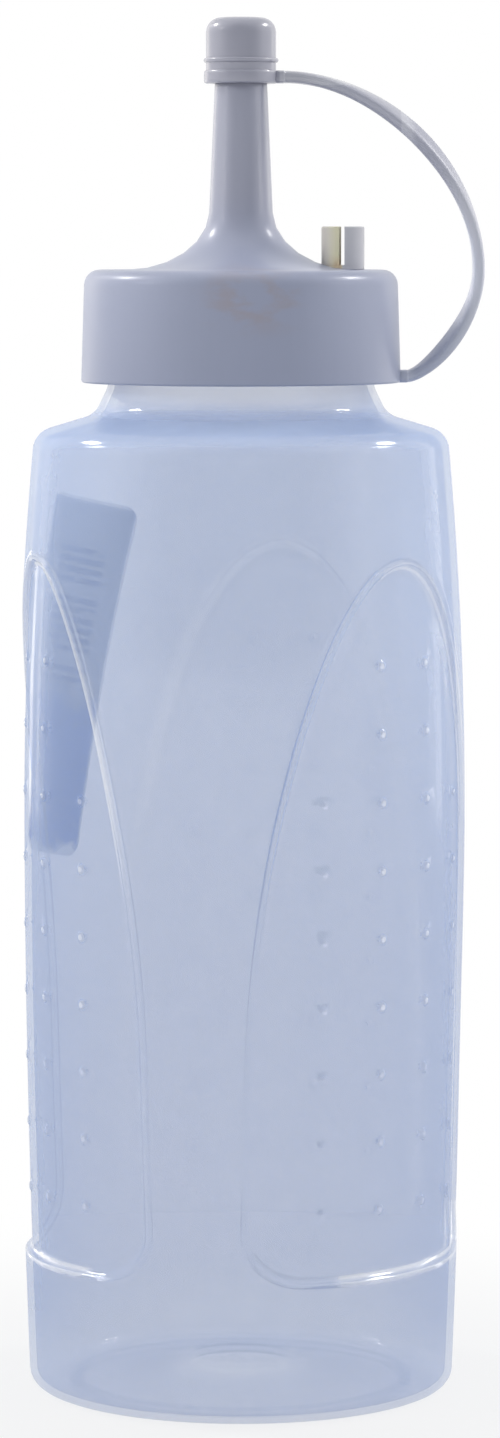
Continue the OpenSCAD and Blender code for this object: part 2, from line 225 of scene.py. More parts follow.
print("Floor faces:", len(floor_mesh.polygons))

# %% [markdown]
# The highlights tell where the light came from: small bright ovals on the shoulder mean two lamps high
# up on the left and right, the thin streaks on the walls mean two tall panels behind the sides, and a
# short warm streak on the left panel means a small lamp lower down. Two weak spots light the sides of
# the cap and nozzle alone, and aren't mirrored. The front stays darker, which is why the middle of the
# cap is its darkest part. A lamp's azimuth counts from the front, to the right.

# %% Lamps
BOTTLE_MIDDLE, CAP_MIDDLE = 0.12, 0.205  # heights that the lamps face, in metres
SPOT_ANGLE, SPOT_BLEND, SPOT_R = 16, 0.4, 0.06


def add_lamp(name, azimuth, elevation, distance, size, watts, colour):
    """A soft panel of a size that faces the bottle, or without a size a spot on the cap alone."""
    data = bpy.data.lights.new(name, "AREA" if size else "SPOT")
    if size:
        data.shape, data.size, data.size_y = "ELLIPSE", *size
    else:
        data.spot_size = math.radians(SPOT_ANGLE)
        data.spot_blend, data.shadow_soft_size = SPOT_BLEND, SPOT_R
    data.energy, data.color = watts, colour
    lamp = bpy.data.objects.new(name, data)
    a, e = math.radians(azimuth), math.radians(elevation)
    way = Vector((math.sin(a) * math.cos(e), -math.cos(a) * math.cos(e), math.sin(e)))
    lamp.location = Vector((0, 0, BOTTLE_MIDDLE if size else CAP_MIDDLE)) + way * distance
    lamp.rotation_euler = way.to_track_quat("Z", "Y").to_euler()
    lamp.visible_glossy = bool(size)
    bpy.context.scene.collection.objects.link(lamp)


add_lamp("lamp_left", -112, 40, 0.9, (0.2, 0.14), 1.9, (1, 0.98, 0.95))
add_lamp("lamp_right", 108, 41, 0.9, (0.2, 0.14), 1.8, (1, 0.98, 0.96))
add_lamp("panel_left", -138, 4, 0.9, (0.36, 1.1), 0.65, (1, 0.93, 0.82))
add_lamp("panel_right", 128, 4, 0.9, (0.13, 1.1), 0.45, (1, 0.96, 0.88))
add_lamp("glint_left", -149, -4, 0.9, (0.1, 0.12), 0.09, (1, 0.92, 0.78))
add_lamp("spot_left", -72, 20, 0.36, None, 3.8, (1, 0.99, 0.96))
add_lamp("spot_right", 80, 16, 0.36, None, 2.0, (1, 0.99, 0.97))

# %% [markdown]
# ## Finishes
# The bottle is blow-moulded soft plastic: clear, but hazy. Glass would bend what is behind it, which a
# thin wall hardly does. So each skin of the wall is a film that hides about a quarter of what is behind
# it, and more where it is seen aslant, because the way through the plastic is longer there. The haze
# varies a little in long soft streaks, as the melt was drawn down in the mould, and it is weaker at the
# neck, the base and its boss; at the neck that is painted light, which lifts the shade under the cap.
# The film's tint grows paler towards the shoulder, which is painted light against the same shade. An
# attribute of the mesh marks the steps and dots with painted light: above 0 a painted highlight, with
# less haze and more shine, below 0 a painted dark line, with more haze. The shine lies on top of the
# film and grows to the edges.
# Each pair of values below is where a change of the look starts and ends, in metres.

# %% Clear plastic
SHOULDER_FADE, NECK_FADE, FOOT_FADE = (0.1615, 0.1635), (0.165, 0.170), (0.004, 0.016)
BOSS_R_FADE, BOSS_Z_FADE, PAINTED_TOP_LIGHT_FADE = (0.007, 0.017), (0.005, 0.009), (0.06, 0.15)
clear_plastic, here = start_finish("hazy_clear_plastic")
streaks = here.stretched((1, 1, 0.16)).noise(60, 3)
mottle = here.noise(220, 2)
ripple = here.stretched((1, 1, 0.3)).noise(90, 2).bump(0.025, 0.001)
aslant = here.node("LayerWeight", None, {"Blend": 0.5, "Normal": ripple}, "Facing")
z = here.axes()[2]
mark = here.node("Attribute", {"attribute_name": "thinned"}, output="Fac")
boss = (1 - here.off_axis().between(*BOSS_R_FADE)) * (1 - z.between(*BOSS_Z_FADE))
# Painted light: less haze at the neck lifts the shade under the cap.
neck = 0.6 * z.between(*NECK_FADE) - 0.2 * z.between(*SHOULDER_FADE)
clearer_and_painted_neck_light = neck + 0.26 * (1 - z.between(*FOOT_FADE)) + 0.3 * boss
# The mark paints highlights, with less haze, and dark lines, with more haze.
haze_and_painted_light = (0.265 + 0.05 * (streaks - 0.5) + 0.03 * (mottle - 0.5)) * (1 - clearer_and_painted_neck_light) * (1 - 0.4 * mark)
# Painted light: besides its streaks, the tint grows paler towards the shoulder, against the shade under
# the cap.
streaks_and_painted_top_light = 0.5 * streaks + 0.5 * z.between(*PAINTED_TOP_LIGHT_FADE)
film = here.node("BsdfPrincipled", None, {
    "Base Color": streaks_and_painted_top_light.tint((0.41, 0.54, 0.84, 1), (0.58, 0.72, 1.0, 1)), "Roughness": 0.5,
    "Specular IOR Level": 0.0, "Alpha": 1 - (1 - haze_and_painted_light) ** (1 + 0.9 * aslant * aslant),
})
shine = here.node("BsdfGlossy", None, {"Color": WHITE, "Roughness": 0.1, "Normal": ripple})
# Where the mark is above 0.5 it also paints a highlight, with more shine.
gloss = 0.045 + 0.2 * aslant ** 4 + 0.4 * mark.between(0.5, 1.4)
skin = here.node("MixShader", None, {0: gloss, 1: film, 2: shine})
here.node("OutputMaterial", None, {"Surface": skin})
print(clear_plastic.name, "has", len(clear_plastic.node_tree.nodes), "nodes")

# %% [markdown]
# The cap, strap and tip cap are moulded in one satin blue-grey plastic. The strap's copy of it is
# painted lighter, standing in for light through the thin strap, and the lugs and the strap's far bend
# get more painted light that lifts their shade. The nozzle and tip cap are handled most and have a
# polish, which is a coat that fades in towards the deck and above it. Fine lines run up the skirt, as
# the mould left them, and faint brown stains of sauce have dried on its front.

# %% Cap plastic
STAIN_X, STAIN_Z, STAIN_FADE = 0.0025, 0.187, (0.002, 0.013)
NOZZLE_GREY, TIP_GREY = (0.192, 0.206), (0.222, 0.224)
SKIRT_LUG, TIP_LUG, TIP_LUG_Z = (0.0269, 0.0274), (0.0063, 0.0067), (0.2226, 0.223)
LUG_END, STRAP_BEND = (0.0285, 0.03), (0.032, 0.040)
DECK_POLISH, NOZZLE_POLISH, POLISH_END = (0.186, 0.189), (0.196, 0.206), (0.027, 0.029)


def moulded(name, low, high):
    """Satin plastic with soft clouds between two tones, fine scratches, a faint stain, and painted light
    on the lugs and bend.
    """
    material, here = start_finish(name)
    x, _, z = here.axes()
    clouds = here.noise(55, 4)
    scratches = here.stretched((1, 1, 0.06)).noise(500, 2)
    right, above = x - STAIN_X, z - STAIN_Z
    spot = (right * right + above * above * 3) ** 0.5
    patches = here.stretched((1, 1, 2)).noise(150, 4).between(0.42, 0.66)
    stain = (1 - spot.between(*STAIN_FADE)) * patches
    greyer = z.between(*NOZZLE_GREY) * 0.5 + z.between(*TIP_GREY) * 0.2
    own = greyer.tint((0.6 * clouds + 0.4 * scratches).tint(low, high), (0.37, 0.355, 0.40, 1))
    # Painted light: the lugs and the strap's far bend are tinted lighter, which lifts their shade.
    lugs = x.between(*SKIRT_LUG) + x.between(*TIP_LUG) * z.between(*TIP_LUG_Z)
    painted_light_on_lugs_and_bend = 0.3 * lugs * (1 - x.between(*LUG_END)) + 0.35 * x.between(*STRAP_BEND)
    tone = painted_light_on_lugs_and_bend.tint(own, (0.86, 0.85, 0.88, 1))
    polish = 0.15 * z.between(*DECK_POLISH) + 0.5 * z.between(*NOZZLE_POLISH)
    close_finish(material, here, {
        "Base Color": (stain * 0.5).tint(tone, (0.40, 0.31, 0.29, 1)),
        "Roughness": 0.27 + 0.12 * clouds + 0.06 * scratches,
        "IOR": 1.5, "Coat Weight": polish * (1 - x.between(*POLISH_END)),
        "Coat Roughness": 0.16, "Coat IOR": 1.7,
        "Normal": (clouds * 0.8 + scratches * 0.2).bump(0.05, 0.0005),
    })
    return material


# The strap's copy is painted lighter, standing in for light through the thin strap.
cap_plastic = moulded("satin_cap_plastic", (0.35, 0.375, 0.495, 1), (0.39, 0.415, 0.535, 1))
strap_plastic_painted_lighter = moulded("satin_strap_painted_lighter", (0.455, 0.475, 0.58, 1), (0.515, 0.535, 0.635, 1))

# %% [markdown]
# The parking post is a natural plastic, warmer on its left half and painted lighter there, which lifts
# the shade that the nozzle casts on it. It has yellowed next to its front slit, and some sauce has dried
# at its foot there. The washer under the cap is white foam, so it gets a fine closed-cell bump.

# %% Post plastic and seal foam
SLIT_NEAR, SLIT_FAR, RIGHT_HALF = (0.0142, 0.0165), (0.0168, 0.0172), (0.0170, 0.0174)
DRIED_FADE = (0.1925, 0.1945)
post_plastic, here = start_finish("natural_post_plastic_painted_left_light")
x, _, z = here.axes()
age = here.noise(240, 3)
by_slit = x.between(*SLIT_NEAR) * (1 - x.between(*SLIT_FAR))
# Painted light: the left half is lighter, against the nozzle's shadow; its warmer tone is the plastic's
# own.
natural_with_painted_left_light = x.between(*RIGHT_HALF).tint((0.66, 0.62, 0.55, 1), (0.59, 0.58, 0.61, 1))
yellowed = (by_slit * (0.35 + 0.7 * age)).tint(natural_with_painted_left_light, (0.72, 0.68, 0.42, 1))
dried = by_slit * (1 - z.between(*DRIED_FADE)) * age.between(0.35, 0.6)
close_finish(post_plastic, here, {
    "Base Color": (dried * 0.7).tint(yellowed, (0.60, 0.42, 0.26, 1)), "Roughness": 0.32 + 0.15 * age,
    "IOR": 1.5, "Normal": age.bump(0.08, 0.0004),
})

seal_foam, here = start_finish("white_seal_foam")
cells = here.node("TexVoronoi", {"feature": "DISTANCE_TO_EDGE"}, {"Vector": here, "Scale": 1800})
foam_tone = cells.between(0.0, 0.25).tint((0.62, 0.63, 0.66, 1), (0.80, 0.80, 0.81, 1))
close_finish(seal_foam, here, {
    "Base Color": foam_tone, "Roughness": 0.75 + 0.1 * cells, "Normal": cells.bump(0.3, 0.0003),
})

# %% [markdown]
# ## The bottle's wall
# The wall is a barrel, two parabolas that meet at the belly, with three arched panels sunk into it for
# the grip. A grid of squares over the whole barrel would cut the arches into steps. So each third of
# the barrel is one grid whose rings follow the arch: they start on a line in the middle of the panel,
# cross the step in close rings, and then spread out to the edges of that third. The step is a cove:
# steep under its rim, and soft where it runs out on to the panel.

# %% Sizes of the wall, in millimetres
FOOT_R, BELLY_R, SHOULDER_R = 36.5, 38.34, 35.5
HEEL, BELLY_Z, SHOULDER_Z = 3.0, 98.0, 161.0
HALF_W, CORNER, FOOT_Z, WIDE_Z, APEX_Z = 27.5, 8.0, 23.6, 58.0, 143.2
RECESS, STEP_W, WALL = 1.2, 1.4, 1.2
PANEL_TURN, HALF_THIRD = 48.0, 60  # degrees


def side_r(z):
    """Radius of the plain barrel at a height."""
    if z < BELLY_Z:
        return BELLY_R - (BELLY_R - FOOT_R) * ((BELLY_Z - z) / (BELLY_Z - HEEL)) ** 2
    return BELLY_R - (BELLY_R - SHOULDER_R) * ((z - BELLY_Z) / (SHOULDER_Z - BELLY_Z)) ** 2


print("Barrel radii:", [round(side_r(z), 2) for z in (HEEL, BELLY_Z, SHOULDER_Z)])

# %% The panel's outline
ARCH, SIDE, BEND, FLOOR = 60, 14, 14, 12  # edges along each stretch of half an outline
HALF = ARCH + SIDE + BEND + FLOOR
TOP_CORNER, LOW_CORNER = 28, ARCH + SIDE + BEND // 2


def outline(i, grow):
    """Point i of a panel's outline, right half, from the apex down to the foot's middle."""
    half, corner = HALF_W + grow, CORNER + grow
    bend_z = FOOT_Z - grow + corner
    if i <= ARCH:
        t = math.radians(90 - 90 * i / ARCH)
        return half * math.cos(t), WIDE_Z + (APEX_Z - WIDE_Z + grow) * math.sin(t)
    if i <= ARCH + SIDE:
        return half, WIDE_Z + (bend_z - WIDE_Z) * (i - ARCH) / SIDE
    if i <= ARCH + SIDE + BEND:
        t = math.radians(-90 * (i - ARCH - SIDE) / BEND)
        return half - corner + corner * math.cos(t), bend_z + corner * math.sin(t)
    return (half - corner) * (HALF - i) / FLOOR, FOOT_Z - grow


def edge_of_third(i):
    """Angle and height of the matching point on the edge of that third of the barrel."""
    if i <= TOP_CORNER:
        return HALF_THIRD * i / TOP_CORNER, SHOULDER_Z
    if i <= LOW_CORNER:
        drop = (HEEL - SHOULDER_Z) * (i - TOP_CORNER) / (LOW_CORNER - TOP_CORNER)
        return HALF_THIRD, SHOULDER_Z + drop
    return HALF_THIRD * (HALF - i) / (HALF - LOW_CORNER), HEEL


print("Points round one panel:", 2 * HALF)

# %% Rings from the panel's middle to the edge of the third
INNER, OUTER, MIDDLE_TOP = 12, 12, 112.0  # rings inside and outside the step, and a height in mm
SAME_PLACE = 1e-6  # metres
# Place across the step and rise out of the panel, as shares of the whole.
STEP = [(0.0, 0.0), (0.28, 0.05), (0.52, 0.18), (0.72, 0.40), (0.87, 0.72), (0.95, 0.93), (1.0, 1.0)]


def wall_point(i, k):
    """Angle, height and sink of point i on ring k, on the right half of a panel."""
    if k < INNER:
        w, z = outline(i, -STEP_W)
        share = k / INNER
        w, z = w * share, share * z + (1 - share) * min(max(z, FOOT_Z + CORNER), MIDDLE_TOP)
        return math.degrees(math.asin(w / side_r(z))), z, RECESS
    if k < INNER + len(STEP):
        place, rise = STEP[k - INNER]
        w, z = outline(i, STEP_W * (place - 1))
        return math.degrees(math.asin(w / side_r(z))), z, RECESS * (1 - rise)
    w, z = outline(i, 0)
    angle = math.degrees(math.asin(w / side_r(z)))
    share = (k - INNER - len(STEP) + 1) / OUTER
    far_angle, far_z = edge_of_third(i)
    return angle + (far_angle - angle) * share, z + (far_z - z) * share, 0


def on_wall(angle, z, sink):
    """A place on the barrel: 0 degrees is the front, and positive angles go to the right."""
    r, a = (side_r(z) - sink) * MM, math.radians(angle)
    return Vector((r * math.sin(a), -r * math.cos(a), z * MM))


def azimuth_of(v):
    """The angle that on_wall starts from."""
    return math.degrees(math.atan2(v.co.x, -v.co.y))


RINGS = INNER + len(STEP) + OUTER - 1
bottle = bmesh.new()
thinned = bottle.verts.layers.float.new("thinned")
step_row = bottle.verts.layers.int.new("step_row")
bmesh.ops.create_grid(bottle, x_segments=2 * HALF, y_segments=RINGS, size=1)
for v in bottle.verts:
    i, k = round((v.co.x + 1) * HALF), round((v.co.y + 1) / 2 * RINGS)
    angle, z, sink = wall_point(min(i, 2 * HALF - i), k)
    v.co = on_wall(angle if i <= HALF else -angle, z, sink)
    v[step_row] = k - INNER if INNER < k < INNER + len(STEP) else 0
bmesh.ops.remove_doubles(bottle, verts=bottle.verts, dist=SAME_PLACE)
print("One third of the wall:", len(bottle.faces), "faces")

# %% [markdown]
# ## Grip dots
# Each panel carries rows of small raised dots. They are part of the same wall, so a few faces are
# taken out where a dot goes, and a little dome is bridged into the hole. Laying loose domes on top would
# put one more film in front of the eye and make every dot too dark.

# %% Places of the dots
DOT_FIRST, DOT_PITCH, DOT_STEP, DOT_MARGIN = 35.2, 11.4, 17.5, 5.0  # mm, and DOT_STEP in degrees


def panel_half(z):
    """Half the width of a panel at a height."""
    if z > WIDE_Z:
        return HALF_W * math.sqrt(max(0, 1 - ((z - WIDE_Z) / (APEX_Z - WIDE_Z)) ** 2))
    if z > FOOT_Z + CORNER:
        return HALF_W
    return HALF_W - CORNER + math.sqrt(max(0, CORNER ** 2 - (FOOT_Z + CORNER - z) ** 2))


dots = []
for row in range(int((APEX_Z - DOT_FIRST) / DOT_PITCH) + 1):
    for column in (-1.5, -0.5, 0.5, 1.5):
        z, angle = DOT_FIRST + DOT_PITCH * row, column * DOT_STEP
        aside = (side_r(z) - RECESS) * math.sin(math.radians(abs(angle)))
        if aside + DOT_MARGIN < panel_half(z):
            dots.append((angle, z))
print("Dots on one panel:", len(dots))

# %% Dots
DOT_R, DOT_SIDES, DOT_TIP, HOLE_R, HOLE_MIDDLE_R = 1.2, 12, 0.05, 1.5, 1.7
# The marks paint a dark ring round a dot's foot and a highlight on its top.
DOME = [(0.95, 0.10, -0.8), (0.72, 0.32, 0.2), (0.40, 0.45, 1.0)]  # radius, height and mark


def next_ring(bm, edges, move):
    """Extrudes a ring of edges, moves the new ring, and gives its edges."""
    made = bmesh.ops.extrude_edge_only(bm, edges=edges)["geom"]
    for v in made:
        if isinstance(v, bmesh.types.BMVert):
            v.co = move(v.co)
    return [e for e in made if isinstance(e, bmesh.types.BMEdge) and e.is_boundary]


def add_dot(bm, angle, z):
    """Takes out the faces round a place on the panel and bridges a dome into the hole."""
    middle = on_wall(angle, z, RECESS)
    turn = (Matrix.Translation(middle) @ Matrix.Rotation(math.radians(angle), 4, "Z")
            @ Matrix.Rotation(math.radians(90), 4, "X"))
    hit = [f for f in bm.faces if any((v.co - middle).length < HOLE_R * MM for v in f.verts)
           or (f.calc_center_median() - middle).length < HOLE_MIDDLE_R * MM]
    rim = {e for f in hit for e in f.edges if len(set(e.link_faces) & set(hit)) == 1}
    bmesh.ops.delete(bm, geom=hit, context="FACES")
    circle = bmesh.ops.create_circle(bm, segments=DOT_SIDES, radius=DOT_R * MM, matrix=turn)["verts"]
    for v in circle:
        v.co = on_wall(azimuth_of(v), v.co.z / MM, RECESS)
    foot = [e for e in bm.edges if e.verts[0] in circle and e.verts[1] in circle]
    bmesh.ops.bridge_loops(bm, edges=list(rim) + foot)
    ring, size, flat = foot, DOT_R, turn.inverted()
    for r, h, mark in DOME:
        ring = next_ring(bm, ring, lambda co, s=r / size, h=h: turn @ Vector(
            ((flat @ co).x * s, (flat @ co).y * s, h * MM)))
        size = r
        for v in {v for e in ring for v in e.verts}:
            v[thinned] = mark
    top = bmesh.ops.contextual_create(bm, geom=ring)["faces"]
    bmesh.ops.poke(bm, faces=top, offset=DOT_TIP * MM)


for angle, z in dots:
    add_dot(bottle, angle, z)
print("One third with its dots:", len(bottle.faces), "faces")

# %% [markdown]
# ## Whole bottle
# Two turned copies of that third close the wall. In the mould the plastic wasn't drawn evenly: the steps
# are crisp on the outer legs of the panels, soft on the panel at the back, and all but gone low on the
# inner legs. How bright or dark they look is painted later by marks. Each place could have its own
# outline, but smoothing the points of a step does the same with less. Every round takes in a wider band,
# so that a step runs out gently.

# %% Three thirds
SEAM = 5e-6  # metres, the widest gap that is closed between two shapes
BACK = 115  # degrees from the front, past which only the panel at the back has its step
# A band of heights in mm for each round, and the azimuths between which it also takes what is below.
SOFTENED = [(52, 56, -43, 16), (49, 64, -46, 19), (46, 72, -49, 22), (43, 80, -52, 25),
            (40, 88, 0, 0), (37, 96, 0, 0)]


def turn_round(bm, degrees):
    bmesh.ops.rotate(bm, verts=bm.verts, cent=(0, 0, 0),
                     matrix=Matrix.Rotation(math.radians(degrees), 3, "Z"))


bmesh.ops.spin(bottle, geom=bottle.faces[:] + bottle.edges[:] + bottle.verts[:], cent=(0, 0, 0),
               axis=(0, 0, 1), angle=math.radians(4 * HALF_THIRD), steps=2, use_duplicate=True)
turn_round(bottle, PANEL_TURN)
bmesh.ops.remove_doubles(bottle, verts=bottle.verts, dist=SEAM)
for low, high, left, right in SOFTENED:
    soft = [v for v in bottle.verts if v[step_row]
            and (abs(azimuth_of(v)) > BACK or low * MM < v.co.z < high * MM
                 or v.co.z < low * MM and left < azimuth_of(v) < right)]
    bmesh.ops.smooth_vert(bottle, verts=soft, factor=0.5,
                          use_axis_x=True, use_axis_y=True, use_axis_z=True)
print("Wall faces:", len(bottle.faces), "open edges:", sum(e.is_boundary for e in bottle.edges))

# %% [markdown]
# The marks that the clear plastic reads come next: painted highlights and painted shade. A step has one
# of three looks, each a list from the panel to the rim: a painted highlight on both edges, a painted
# dark line under the rim, or a faint pale line. Its place on the bottle chooses the look and how strong
# it is.
# The dots are marked already, and only get weaker at the back, low down and in front, where the
# photograph hardly shows them.

# %% Marks on steps and dots
# Painted light on the steps: the first list paints highlights on both edges, the second a dark line
# under the rim, the third a faint pale line.
SHINY = [0.0, 0.9, 1.0, 0.5, 0.6, 1.0, 0.9]
PAINTED_DARK_RIM = [0.0, 0.2, 0.4, 0.2, -0.5, -1.0, -0.7]
SOFT = [0.0, 0.3, 0.5, 0.5, 0.5, 0.5, 0.3]
BACK_LEG, DARK_RIM_LEG, LEFT_LEG, RIGHT_CORNER, LEFT_CORNER, FRONT = 158, 40, -76, 26, -46, 34  # degrees
CORNER_TOP, LOW_DOTS, FADE_Z, FADE_H = 31, 60, 80, 25  # mm
WEAKER, DARKEST = 0.75, -0.15


def step_mark(row, azimuth, z):
    """The painted highlight or shade of a point on a step, from its row across the step and its place on
    the bottle.
    """
    rising = 0.2 + 0.8 * min(1, max(0, (z - FADE_Z) / FADE_H))
    if abs(azimuth) > BACK:
        return SOFT[row] * (0.15 if 0 < azimuth < BACK_LEG else rising)
    if z < CORNER_TOP:
        return SHINY[row] * (1.1 if azimuth > RIGHT_CORNER or azimuth < LEFT_CORNER else 0.1)
    if 0 < azimuth < DARK_RIM_LEG:
        return PAINTED_DARK_RIM[row] * rising
    return SHINY[row] * (0.9 if azimuth > 0 else 1.4 if azimuth > LEFT_LEG else 0.7) * rising


for v in bottle.verts:
    azimuth = azimuth_of(v)
    if v[step_row]:
        v[thinned] = step_mark(v[step_row], azimuth, v.co.z / MM)
        continue
    if abs(azimuth) > BACK or v.co.z < LOW_DOTS * MM:
        v[thinned] *= WEAKER
    if abs(azimuth) < FRONT:
        v[thinned] = max(DARKEST, WEAKER * v[thinned])
print("Marked points:", sum(v[thinned] != 0 for v in bottle.verts))

# %% [markdown]
# ## Base and neck
# The neck and the base are round, so each is a half section, a few corners joined by a line, whose
# corners are rounded with a bevel before it is spun. The spins have as many steps as the wall has edges
# there, so their rims meet the wall point by point.

# %% Helper: a rounded half section
ROUND_STEPS = 6


def half_section(bm, corners, closed=False):
    """Draws corners of (radius, height, rounding) as a line and rounds them. Gives its parts."""
    verts = [bm.verts.new((r * MM, 0, z * MM)) for r, z, _ in corners]
    pairs = list(zip(verts, verts[1:])) + ([(verts[-1], verts[0])] if closed else [])
    old = set(bm.verts) - set(verts)
    for pair in pairs:
        bm.edges.new(pair)
    for v, (_, _, rounding) in zip(verts, corners):
        if rounding:
            bmesh.ops.bevel(bm, geom=[v], offset=rounding * MM, offset_type="OFFSET",
                            segments=ROUND_STEPS, profile=0.5, affect="VERTICES", material=-1)
    fresh = [v for v in bm.verts if v not in old]
    return fresh + list({e for v in fresh for e in v.link_edges})


def spin_round(bm, parts, steps):
    bmesh.ops.spin(bm, geom=parts, cent=(0, 0, 0), axis=(0, 0, 1), dvec=(0, 0, 0),
                   angle=2 * math.pi, steps=steps, use_merge=True, use_duplicate=False)


print("A corner's rounding has", ROUND_STEPS, "edges")

# %% [markdown]
# The base has a foot ring, which gets a painted dark line, a pushed-up floor and a low boss in its
# middle.
# The neck rises from a sloped shoulder over a short cone. When the skin is closed, its normals are made
# to point outwards, and only then it gets its wall, which grows inwards and leaves the neck open.

# %% Base, neck and wall thickness
NECK_R, RIM_Z = 22.6, 187.9
# Corners from the wall to the axis, and from the wall to the rim: radius, height and rounding.
BASE_LINE = [(FOOT_R, HEEL, 0), (FOOT_R, 0, 2.9), (28.5, 0, 1.4), (8.7, 3, 0.7), (8, 3.7, 0.4),
             (0, 3.7, 0)]
NECK_LINE = [(SHOULDER_R, SHOULDER_Z, 0), (SHOULDER_R, 163.96, 2.85), (24.9, 167.2, 1.6),
             (NECK_R, 172, 0.8), (NECK_R, RIM_Z, 0.5), (21.9, RIM_Z, 0)]
FOOT_IN, FOOT_OUT, FOOT_H, FOOT_MARK = 27.5, 29.5, 1, -0.8


def add_shape(bm, part):
    """Puts a shape that was made on its own into a larger one."""
    mesh = bpy.data.meshes.new("part")
    part.to_mesh(mesh)
    part.free()
    bm.from_mesh(mesh)
    bpy.data.meshes.remove(mesh)


for steps, corners in ((6 * (HALF - LOW_CORNER), BASE_LINE), (6 * TOP_CORNER, NECK_LINE)):
    part = bmesh.new()
    spin_round(part, half_section(part, corners), steps)
    turn_round(part, PANEL_TURN - 90)
    add_shape(bottle, part)
bmesh.ops.remove_doubles(bottle, verts=bottle.verts, dist=SEAM)
# Painted shade: a dark line on the foot ring.
for v in bottle.verts:
    if v.co.z < FOOT_H * MM and FOOT_IN * MM < v.co.to_2d().length < FOOT_OUT * MM:
        v[thinned] = FOOT_MARK
bmesh.ops.recalc_face_normals(bottle, faces=bottle.faces)
print("Skin faces:", len(bottle.faces), "open edges:", sum(e.is_boundary for e in bottle.edges))
bmesh.ops.solidify(bottle, geom=bottle.faces, thickness=WALL * MM)
print("With its wall:", len(bottle.faces), "faces, reach",
      round(max(v.co.x for v in bottle.verts) / MM, 2), "mm, open edges:",
      sum(e.is_boundary for e in bottle.edges))

# %% [markdown]
# ## Screw threads
# A thread is a small ridge that climbs as it turns. Spin can lift each step a little, so one section of
# four corners, spun one and a quarter turns and closed at both ends, makes it. The ends then sink into
# the wall.

# %% Threads
PITCH, TURNS, DEPTH, LEAD, THREAD_STEPS = 4.2, 1.25, 1.7, 0.12, 90
SUNK, ROOT_HALF, CREST_HALF, END_RISE = 0.1, 1.1, 0.5, 0.04
NECK_THREAD_Z, NECK_THREAD_TURN = 179.45, 0


def thread(root, side, foot, start):
    """A ridge on a wall of radius root, outside it (side 1) or inside it (side -1)."""
    low, crest = root - side * SUNK, root + side * DEPTH
    section = [(low, -ROOT_HALF), (crest, -CREST_HALF), (crest, CREST_HALF), (low, ROOT_HALF)]
    ridge = bmesh.new()
    verts = [ridge.verts.new((r * MM, 0, (foot + z) * MM)) for r, z in section]
    edges = [ridge.edges.new(pair) for pair in zip(verts, verts[1:] + verts[:1])]
    bmesh.ops.spin(ridge, geom=verts + edges, cent=(0, 0, 0), axis=(0, 0, 1), steps=THREAD_STEPS,
                   dvec=(0, 0, PITCH * TURNS / THREAD_STEPS * MM), angle=2 * math.pi * TURNS)
    bmesh.ops.holes_fill(ridge, edges=[e for e in ridge.edges if e.is_boundary], sides=4)
    for v in ridge.verts:
        turn = math.atan2(v.co.y, v.co.x) / (2 * math.pi)
        gone = turn + round((v.co.z / MM - foot) / PITCH - turn)
        rise = max(END_RISE, min(1, gone / LEAD, (TURNS - gone) / LEAD))
        r = v.co.to_2d().length
        v.co.x, v.co.y = v.co.to_2d() * (low * MM + (r - low * MM) * rise) / r
    turn_round(ridge, start)
    bmesh.ops.recalc_face_normals(ridge, faces=ridge.faces)
    return ridge


add_shape(bottle, thread(NECK_R, 1, NECK_THREAD_Z, NECK_THREAD_TURN))
print("Bottle faces with its thread:", len(bottle.faces))

# %% Helper: a finished piece
def finish_piece(bm, name, finish, sharp=38):
    """Makes an object of a shape, smooth but for edges that turn by more than sharp degrees."""
    mesh = bpy.data.meshes.new(name)
    bm.to_mesh(mesh)
    bm.free()
    mesh.shade_smooth()
    mesh.set_sharp_from_angle(angle=math.radians(sharp))
    mesh.materials.append(finish)
    piece = bpy.data.objects.new(name, mesh)
    bpy.context.scene.collection.objects.link(piece)
    tris = sum(len(p.vertices) - 2 for p in mesh.polygons)
    print(name, "has", tris, "triangles")
    return piece


squeeze_bottle = finish_piece(bottle, "squeeze_bottle", clear_plastic, sharp=60)
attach(squeeze_bottle, "bottle")
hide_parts("bottle_body")

# %% [markdown]
# ## Label
# A sticker is a flat sheet wrapped on the wall. It starts as one rectangle with rounded corners, is cut
# into narrow strips so that it can bend, keeps its flat place as a UV map for the print, and is then
# laid on the barrel, down the step of the panel that it runs on to.

# %% A flat sticker
LABEL_W, LABEL_H, LABEL_CORNER, LABEL_Z = 21.0, 62.5, 3, 120.8
LABEL_TILT, LABEL_TURN = 11.0, -124.5  # degrees
label = bmesh.new()
bmesh.ops.create_grid(label, x_segments=1, y_segments=1, size=0.5)
bmesh.ops.scale(label, verts=label.verts, vec=(LABEL_W, LABEL_H, 1))
bmesh.ops.bevel(label, geom=label.verts[:], offset=LABEL_CORNER, offset_type="OFFSET",
                segments=ROUND_STEPS, profile=0.5, affect="VERTICES", material=-1)
for axis, length in ((0, LABEL_W), (1, LABEL_H)):
    for cut in range(1, int(length)):
        at, way = Vector(), Vector()
        at[axis], way[axis] = cut - length / 2, 1
        bmesh.ops.bisect_plane(label, geom=label.verts[:] + label.edges[:] + label.faces[:],
                               plane_co=at, plane_no=way)
bmesh.ops.remove_doubles(label, verts=label.verts, dist=SAME_PLACE / MM)
flat_map = label.loops.layers.uv.new("flat")
for face in label.faces:
    for loop in face.loops:
        loop[flat_map].uv = loop.vert.co.x / LABEL_W + 0.5, loop.vert.co.y / LABEL_H + 0.5
print("Sticker faces:", len(label.faces))

# %% Laid on the wall
GLUE, SHEET = 0.05, 0.17  # mm, off the wall and through the sticker
SLOPE_H = 0.2  # mm, up and down from the place where a step's slope is measured


